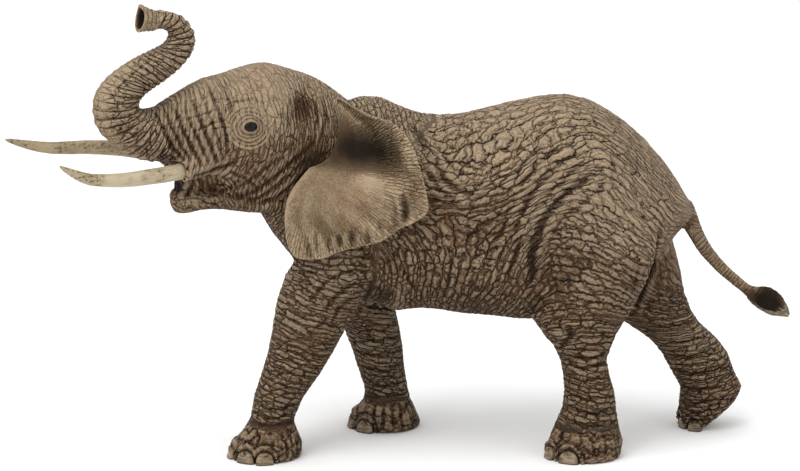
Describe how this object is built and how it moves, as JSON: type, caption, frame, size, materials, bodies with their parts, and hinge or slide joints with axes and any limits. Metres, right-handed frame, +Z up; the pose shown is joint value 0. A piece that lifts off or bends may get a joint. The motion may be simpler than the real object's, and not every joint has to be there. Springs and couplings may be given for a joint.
{
  "type": "toy elephant figure",
  "caption": "Painted plastic toy bull elephant striding with its head turned, its trunk raised in an S, and ivory tusks.",
  "frame": {"origin": "on the ground, under the middle of the bounding box", "axes": "+X from the head to the tail, +Y from the figure's left side to its right side, +Z up"},
  "size_m": [0.2014, 0.0888, 0.1206],
  "materials": {
    "skin": "painted PVC, warm taupe skin with dark creases",
    "leg_skin": "painted PVC, darker taupe skin",
    "ear_skin": "painted PVC, paler taupe skin",
    "ivory": "painted PVC, satin ivory with fine brown stains",
    "tail_skin": "painted PVC, taupe with an almost black tuft"
  },
  "bodies": {
    "root": {"torso": "skin", "head": "skin", "trunk": "skin", "left_ear": "ear_skin", "right_ear": "ear_skin", "left_tusk": "ivory", "right_tusk": "ivory", "left_foreleg": "leg_skin", "right_foreleg": "leg_skin", "left_hind_leg": "leg_skin", "right_hind_leg": "leg_skin", "tail": "tail_skin"}
  },
  "joints": []
}
